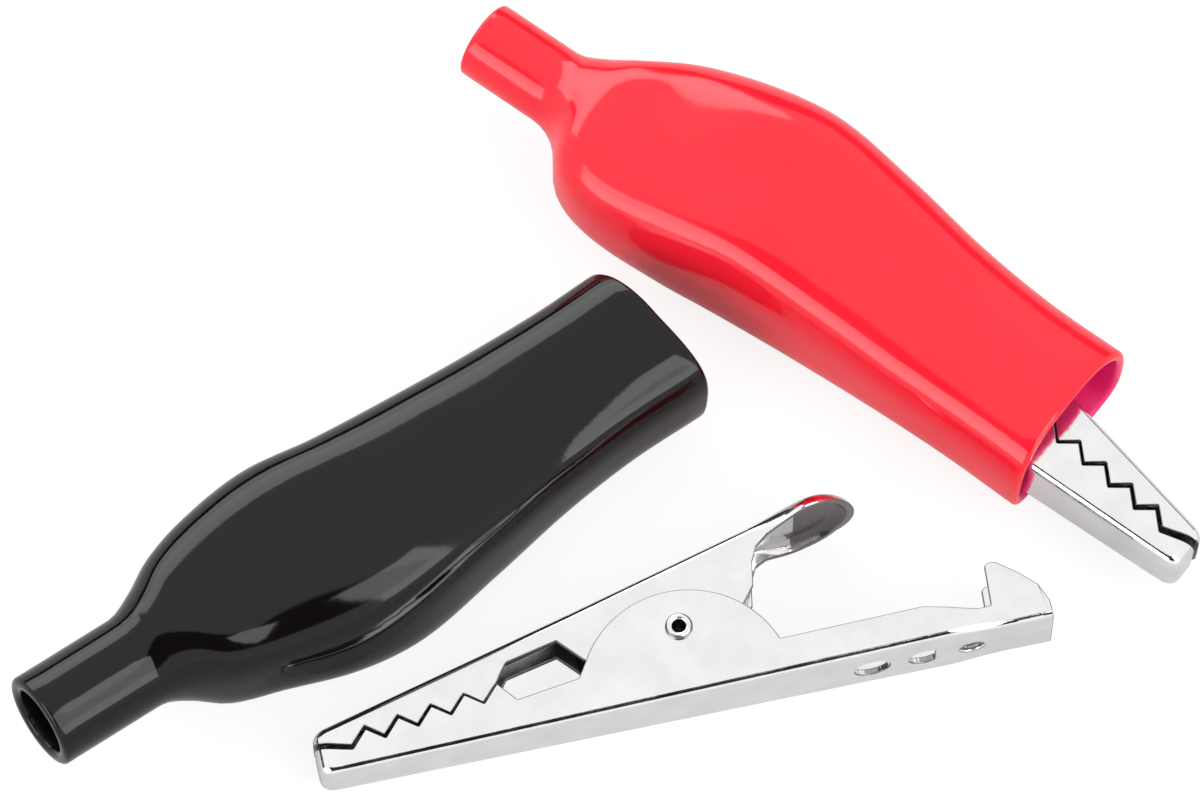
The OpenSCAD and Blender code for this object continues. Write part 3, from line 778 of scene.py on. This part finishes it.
spring_tree = Tree("wound spring", [
    ("Wire diameter", "Float"), ("Coil radius", "Float"), ("Coil length", "Float"),
    ("Start angle", "Float"), ("End angle", "Float"), ("Centre", "Vector"),
    ("First leg", "Vector"), ("Last leg", "Vector"), ("Steps", "Int"), ("Material", "Material")])
t, given = spring_tree, spring_tree.given
points = t.calc("ADD", given["Steps"], 3)
wire = t.add("GeometryNodeCurvePrimitiveLine")
wire = t.add("GeometryNodeResampleCurve", Curve=wire.outputs[0], Count=points)
index = t.add("GeometryNodeInputIndex").outputs[0]
share = t.calc("DIVIDE", t.calc("SUBTRACT", index, 1), given["Steps"])
swept = t.calc("SUBTRACT", given["End angle"], given["Start angle"])
angle = t.calc("ADD", given["Start angle"], t.calc("MULTIPLY", swept, share))
on_coil = t.add("ShaderNodeCombineXYZ",
                X=t.calc("MULTIPLY", given["Coil radius"], t.calc("COSINE", angle)),
                Y=t.calc("MULTIPLY", given["Coil radius"], t.calc("SINE", angle)),
                Z=t.calc("MULTIPLY", given["Coil length"], t.calc("SUBTRACT", share, 0.5)))
coil_point = t.add("ShaderNodeVectorMath", {"operation": "ADD"})
t.put(coil_point.inputs[0], on_coil.outputs[0])
t.put(coil_point.inputs[1], given["Centre"])


def pick(tree, test, no, yes):
    # One vector or the other
    node = tree.add("GeometryNodeSwitch", {"input_type": "VECTOR"})
    tree.put(node.inputs["Switch"], test)
    tree.put(node.inputs["False"], no)
    tree.put(node.inputs["True"], yes)
    return node.outputs[0]


spot = pick(t, t.calc("LESS_THAN", index, 0.5), coil_point.outputs[0], given["First leg"])
spot = pick(t, t.calc("GREATER_THAN", index, t.calc("SUBTRACT", points, 1.5)), spot,
            given["Last leg"])
wire = t.add("GeometryNodeSetPosition", Geometry=wire.outputs[0], Position=spot)
section = t.add("GeometryNodeCurvePrimitiveCircle", Resolution=16,
                Radius=t.calc("DIVIDE", given["Wire diameter"], 2))
wire = t.add("GeometryNodeCurveToMesh", Curve=wire.outputs[0])
t.put(wire.inputs["Profile Curve"], section.outputs[0])
t.put(wire.inputs["Fill Caps"], True)
wire = t.add("GeometryNodeSetShadeSmooth", Geometry=wire.outputs[0])
t.end(wire.outputs[0], given["Material"])

spring_steel = finish_material(
    "spring_wire", (0.62, 0.61, 0.60), (0.48, 0.47, 0.46), patch=900, grain=12000,
    smooth=0.22, dull=0.34, waves=0.5, relief=0.01, Metallic=1.0)
spring = spring_tree.grow("spring", None, {
    "Wire diameter": wire_d, "Coil radius": coil_r, "Coil length": coil_len,
    "Start angle": wind_start, "End angle": wind_end, "Centre": (pivot_x, pivot_y, 0),
    "First leg": (*leg_low, -coil_len / 2), "Last leg": (*leg_up, coil_len / 2),
    "Steps": coil_steps * coil_turns, "Material": spring_steel})
for name, place, low_body, up_body in (("bare", bare_place, "bare_lower", "laid_out"),
                                       ("red", red_place, "laid_out", "red_upper")):
    wound = lay(spring, name + "_spring_wire", place, spring_steel, None, name + "_spring")
    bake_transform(wound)
bpy.data.objects.remove(spring)


# ---- Eyelets ------------------------------------------------------------------
# A hollow brass eyelet, nickel plated, is the hinge pin. Both its ends are rolled over
# the ears into a rounded head with an open middle.
eyelet_bore, head_r, head_t = 0.85, 0.925, 0.28
ear_face = spread(pivot_x + head_r) + 0.01
bore_r, barrel_r = eyelet_bore / 2, eyelet_d / 2
roll = [(barrel_r, ear_face), (head_r - 0.03, ear_face), (head_r, ear_face + 0.07),
        (head_r - 0.04, ear_face + 0.17), (head_r - 0.14, ear_face + 0.25),
        (head_r - 0.27, ear_face + head_t), (bore_r + 0.1, ear_face + 0.24),
        (bore_r + 0.03, ear_face + 0.15), (bore_r, ear_face)]
eyelet_profile = roll + [(r, -h) for r, h in roll[::-1]]
eyelet = turned_ring(eyelet_profile, Matrix.Translation((pivot_x, pivot_y, 0)))
# The bore and the head's outer rim take the darker nickel: painted shade in the bore and a painted
# dark outline round the head
for face in eyelet.data.polygons:
    from_axis = hypot(face.center.x - pivot_x, face.center.y - pivot_y)
    if from_axis < bore_r + 0.02 or from_axis > head_r - 0.1:
        face.material_index = 1
lay(eyelet, "bare_eyelet_rolled", bare_place, nickel, "bare_lower", "bare_eyelet")
lay(eyelet, "red_eyelet_rolled", red_place, nickel, "laid_out", "red_eyelet")
bpy.data.objects.remove(eyelet)


# ---- Boots --------------------------------------------------------------------
# A boot is a soft PVC sleeve, dip moulded in one piece: a flat, square-shouldered body
# with a wide mouth for the clip, and a round neck for the lead. Its rims are rounded.
body_len, mouth_t, boot_wall, boot_room, neck_wall = 43.0, 9.6, 0.7, 0.5, 1.0
boot_slack, tail_push, scoop, neck_y = 0.35, 0.92, 0.5, 4.75
mouth_x = face_x + 11.6
mouth_fade = 0.2                       # the share of the body over which the mouth's cut fades
boot_sides, rim_steps = 96, 8
mouth_round, neck_round = 0.35, 0.3    # how far the rounded rims reach along the boot


def boot_stations(neck_d, full):
    # A full boot has its clip inside and is wider than an empty one. Each station: share of
    # the body's length, lowest and highest y, half thickness, squareness.
    low = -boot_wall - boot_room
    slack = (1 - full) * boot_slack
    push = full * tail_push
    mouth_top, pad_top = web_y(mouth_x) + boot_wall, web_y(pad_wide) + boot_wall
    mouth_b, pad_b, neck_r = mouth_t / 2, pad_w / 2 + boot_wall + boot_room, neck_d / 2
    return np.array([
        (0, low - 0.1 + slack, mouth_top + 4.2 - slack, mouth_b, 2.9),
        (0.14, low + 0.1 + slack, mouth_top + 4.3 - slack, mouth_b, 2.9),
        (0.28, low + 0.1 + slack, pad_top - 0.9 - slack, mouth_b + 0.2, 3),
        (0.43, low + 0.05 + slack, pad_top + 0.1 - slack, pad_b + 0.3, 3.3),
        (0.58, low - 0.2 + slack, pad_top + 0.8 - slack / 2, pad_b + 0.85, 3.5),
        (0.7, low - 0.95 + slack / 2, pad_top + 0.4, pad_b + 0.5, 3),
        (0.82, low - 0.25 - push, pad_top - 1.1, pad_b - 0.45, 2.9),
        (0.9, low + 0.85 - push * 0.9, pad_top - 2.3 - push, pad_b - 0.7, 2.8),
        (0.95, neck_y - neck_r - 0.7, neck_y + neck_r + 0.7, neck_r + 0.9, 2.2),
        (1, neck_y - neck_r, neck_y + neck_r, neck_r, 2)])


def at_share(stations, s):
    # A smooth curve through the stations, level at the neck
    s = min(max(s, 0), 1)
    i = min(int(np.searchsorted(stations[:, 0], s, side="right")) - 1, len(stations) - 2)
    step = stations[i + 1, 0] - stations[i, 0]
    u = (s - stations[i, 0]) / step
    ahead = min(i + 2, len(stations) - 1)
    back = max(i - 1, 0)
    m0 = (stations[i + 1] - stations[back]) / (stations[i + 1, 0] - stations[back, 0])
    m1 = (stations[ahead] - stations[i]) / (stations[ahead, 0] - stations[i, 0])
    if i == len(stations) - 2:
        m1 = 0 * m0
    return ((2 * u ** 3 - 3 * u * u + 1) * stations[i] + (u ** 3 - 2 * u * u + u) * step * m0
            + (3 * u * u - 2 * u ** 3) * stations[i + 1] + (u ** 3 - u * u) * step * m1)[1:]


def boot_profile(neck_d, neck_len, full):
    # The wall's own loop: out along the outside, round the mouth's rim, back inside.
    # Each point: x, middle y, half height, half thickness, squareness, share, inset
    stations = boot_stations(neck_d, full)
    points = []

    def add(x, inset):
        s = (x - mouth_x) / body_len
        low, high, half, square = at_share(stations, s)
        points.append((x, (low + high) / 2, (high - low) / 2, half, square, s, inset))

    neck_x = mouth_x + body_len
    end_x = neck_x + neck_len
    rows = 64
    body = [mouth_x + mouth_round + (body_len - mouth_round) * (i / rows) ** 0.95
            for i in range(rows + 1)]
    neck = [neck_x + (neck_len - neck_round) * i / 8 for i in range(1, 9)]
    for x in (body + neck)[::-1]:
        add(x, 0)
    bends = [pi * k / rim_steps for k in range(1, rim_steps)]
    for bend in bends:
        add(mouth_x + mouth_round - mouth_round * sin(bend), boot_wall / 2 * (1 - cos(bend)))
    for x in body + neck:
        add(x, boot_wall + (neck_wall - boot_wall) * ease(x, neck_x - 3, neck_x))
    for bend in bends:
        add(end_x - neck_round + neck_round * sin(bend), neck_wall / 2 * (1 + cos(bend)))
    return points


boot_fields = ("along", "middle", "high", "half", "square", "share", "inset")
boot_tree = Tree("boot skin", [
    ("Geometry", "Geometry"), ("Sides", "Int"), ("Mouth scoop", "Float"), ("Mouth cut", "Float"),
    ("Fade", "Float"), ("Material", "Material")])
t, given = boot_tree, boot_tree.given
size = t.add("GeometryNodeAttributeDomainSize", {"component": "MESH"}, Geometry=given["Geometry"])
rings = size.outputs["Point Count"]
columns = t.calc("ADD", given["Sides"], 1)
grid = t.add("GeometryNodeMeshGrid", Vertices_X=t.calc("ADD", rings, 1), Vertices_Y=columns)
index = t.add("GeometryNodeInputIndex").outputs[0]
row = t.calc("FLOOR", t.calc("DIVIDE", t.calc("ADD", index, 0.5), columns))
column = t.calc("SUBTRACT", index, t.calc("MULTIPLY", row, columns))
ring_at = t.calc("MODULO", row, rings)
turn = t.calc("MULTIPLY", t.calc("DIVIDE", column, given["Sides"]), 2 * pi)
value = {}
for field in boot_fields:
    named = t.add("GeometryNodeInputNamedAttribute", {"data_type": "FLOAT"}, Name=field)
    read = t.add("GeometryNodeSampleIndex", {"data_type": "FLOAT", "domain": "POINT"},
                 Geometry=given["Geometry"], Value=named.outputs["Attribute"], Index=ring_at)
    value[field] = read.outputs[0]
high = t.calc("SUBTRACT", value["high"], value["inset"])
half = t.calc("SUBTRACT", value["half"], value["inset"])
up_part, side_part = t.calc("COSINE", turn), t.calc("SINE", turn)
reach_up = t.calc("POWER", t.calc("DIVIDE", t.calc("ABSOLUTE", up_part), high), value["square"])
reach_side = t.calc("POWER", t.calc("DIVIDE", t.calc("ABSOLUTE", side_part), half),
                    value["square"])
radius = t.calc("POWER", t.calc("ADD", reach_up, reach_side),
                t.calc("DIVIDE", -1.0, value["square"]))
rise = t.calc("MULTIPLY", radius, up_part)
lean = t.calc("MULTIPLY", t.calc("SIGN", up_part), t.calc(
    "POWER", t.calc("DIVIDE", t.calc("ABSOLUTE", rise), high),
    t.calc("DIVIDE", value["square"], 2.0)))
fade = t.add("ShaderNodeMapRange", {"interpolation_type": "SMOOTHSTEP"},
             Value=value["share"], From_Min=0.0, From_Max=given["Fade"], To_Min=1.0, To_Max=0.0)
scooped = t.calc("MULTIPLY", given["Mouth scoop"],
                 t.calc("SUBTRACT", 1.0, t.calc("MULTIPLY", lean, lean)))
trimmed = t.calc("MULTIPLY", given["Mouth cut"], t.calc(
    "POWER", t.calc("DIVIDE", t.calc("SUBTRACT", 1.0, lean), 2.0), 3.0))
shift = t.calc("MULTIPLY", fade.outputs[0], t.calc("ADD", scooped, trimmed))
place_on_skin = t.add("ShaderNodeCombineXYZ", X=t.calc("ADD", value["along"], shift),
                      Y=t.calc("ADD", value["middle"], rise),
                      Z=t.calc("MULTIPLY", radius, side_part))
skin = t.add("GeometryNodeSetPosition", Geometry=grid.outputs["Mesh"],
             Position=place_on_skin.outputs[0])
skin = t.add("GeometryNodeMergeByDistance", Geometry=skin.outputs[0], Distance=0.002)
skin = t.add("GeometryNodeSetShadeSmooth", Geometry=skin.outputs[0])
t.end(skin.outputs[0], given["Material"])


def make_boot(name, neck_d, neck_len, cut, full, material, inside):
    # One sleeve. Its inside, from the middle of the mouth's rim on, has a finish of its own,
    # and the neck's rim has that of the outside. The red boot's inside is painted lighter and
    # pinker: a painted glow for the light that comes through the thin wall.
    profile = boot_profile(neck_d, neck_len, full)
    spine = bpy.data.meshes.new(name + "_spine")
    spine.from_pydata([(p[0], p[1], 0) for p in profile], [], [])
    for k, field in enumerate(boot_fields):
        store = spine.attributes.new(field, "FLOAT", "POINT")
        store.data.foreach_set("value", [float(p[k]) for p in profile])
    boot = boot_tree.grow(name, spine, {
        "Sides": boot_sides, "Mouth scoop": scoop, "Mouth cut": cut, "Fade": mouth_fade,
        "Material": material})
    boot.data.materials.clear()
    boot.data.materials.append(material)
    boot.data.materials.append(inside)
    neck_rim = len(profile) - rim_steps
    for k, face in enumerate(boot.data.polygons):
        row = k // boot_sides
        face.material_index = int(row < neck_rim and profile[row][6] > 0.6 * boot_wall)
    work = bmesh.new()
    work.from_mesh(boot.data)
    bmesh.ops.recalc_face_normals(work, faces=work.faces)
    work.to_mesh(boot.data)
    work.free()
    return boot


vinyl = {"patch": 120, "grain": 3500, "waves": 0.97, "relief": 0.05}
outside_gloss, inside_gloss = {"smooth": 0.09, "dull": 0.15}, {"smooth": 0.22, "dull": 0.30}
red_pvc = finish_material(
    "red_pvc", (0.96, 0.020, 0.042), (0.92, 0.012, 0.029), **vinyl, **outside_gloss,
    Subsurface_Weight=0.3, Subsurface_Radius=(0.003, 0.0006, 0.0006), IOR=1.46)
black_pvc = finish_material(
    "black_pvc", (0.0048, 0.0034, 0.0042), (0.003, 0.0021, 0.0026), **vinyl,
    smooth=0.06, dull=0.10, IOR=1.39)
# Painted light: the inside is lighter and pinker than the outside, a painted glow for light that
# shines through the thin wall
red_inside_painted_glow = finish_material(
    "red_inside_painted_glow", (1.0, 0.03, 0.24), (0.90, 0.012, 0.13), **vinyl, **inside_gloss,
    IOR=1.46, Subsurface_Weight=0.3, Subsurface_Radius=(0.003, 0.0006, 0.0010))
black_inside = finish_material(
    "black_inside", (0.006, 0.004, 0.005), (0.004, 0.003, 0.0035), **vinyl, **inside_gloss,
    IOR=1.39)
neck = mounts["black_neck"]
along = Vector(neck["axis"]).normalized()
level = Vector((0, 0, 1)).cross(along).normalized()
black_place = Matrix.Identity(4)
for column, direction in enumerate((along, level, along.cross(level))):
    black_place.col[column][:3] = direction * MM
black_neck_len, red_neck_len, neck_lap = 7.7, 6.2, 1.0
neck_middle = mouth_x + body_len + (black_neck_len - neck_lap) / 2
black_place.translation = (Vector(neck["pos_m"])
                           - (along * neck_middle + level * neck_y) * MM)

black = make_boot("black", 6.6, black_neck_len, 1.8, 0, black_pvc, black_inside)
lay(black, "black_boot_sleeve", black_place, black_pvc, "laid_out", "black_boot")
bpy.data.objects.remove(black)
red = make_boot("red", 5.5, red_neck_len, 0.4, 1, red_pvc, red_inside_painted_glow)
red_sleeve = lay(red, "red_boot_sleeve", red_place, red_pvc, None, "red_boot")
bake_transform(red_sleeve)
bpy.data.objects.remove(red)
